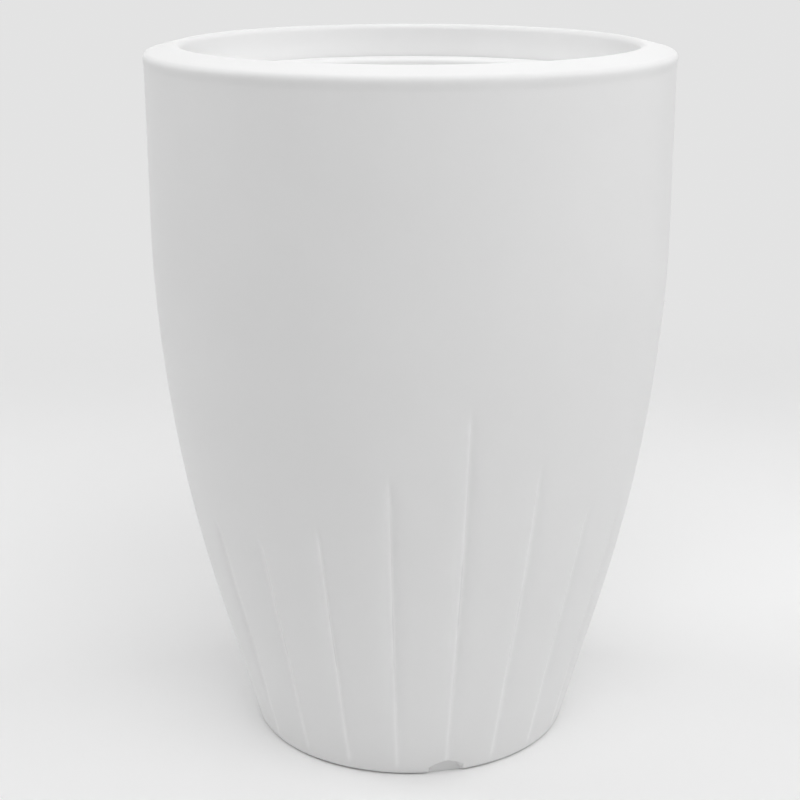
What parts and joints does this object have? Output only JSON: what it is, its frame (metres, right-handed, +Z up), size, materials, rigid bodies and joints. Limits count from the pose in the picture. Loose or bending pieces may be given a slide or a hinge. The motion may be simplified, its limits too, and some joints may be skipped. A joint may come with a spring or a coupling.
{
  "type": "cone planter",
  "caption": "Tapered free-standing floor planter with a wide in-turned lip, pleats rising from the foot, a lift-out planting liner with pull-up handles and a drain plug.",
  "frame": {"origin": "middle of the foot's underside, on the surface that the planter stands on", "axes": "+Z up along the planter's own axis, -Y towards the front, +X to the right"},
  "size_m": [0.5, 0.5, 0.685],
  "materials": {
    "shell": "rotation-moulded polyethylene, satin",
    "liner": "moulded polypropylene, satin",
    "handle": "moulded polypropylene, satin",
    "plug": "moulded polypropylene, fine texture",
    "gasket": "soft rubber"
  },
  "bodies": {
    "shell": {"outer_shell": "shell"},
    "liner": {"planting_liner": "liner"},
    "handle_left": {"liner_handle_left": "handle"},
    "handle_right": {"liner_handle_right": "handle"},
    "plug": {"drain_plug": "plug", "plug_gasket": "gasket"}
  },
  "joints": [
    {"name": "liner_lift", "type": "slide", "parent": "shell", "child": "liner", "axis": [0, 0, 1], "range_m": [0, 0.36]},
    {"name": "left_handle_pull", "type": "slide", "parent": "liner", "child": "handle_left", "axis": [0, 0, 1], "range_m": [0, 0.05]},
    {"name": "right_handle_pull", "type": "slide", "parent": "liner", "child": "handle_right", "axis": [0, 0, 1], "range_m": [0, 0.05]},
    {"name": "plug_pull", "type": "slide", "parent": "shell", "child": "plug", "axis": [0, 0, 1], "range_m": [0, 0.05]}
  ]
}
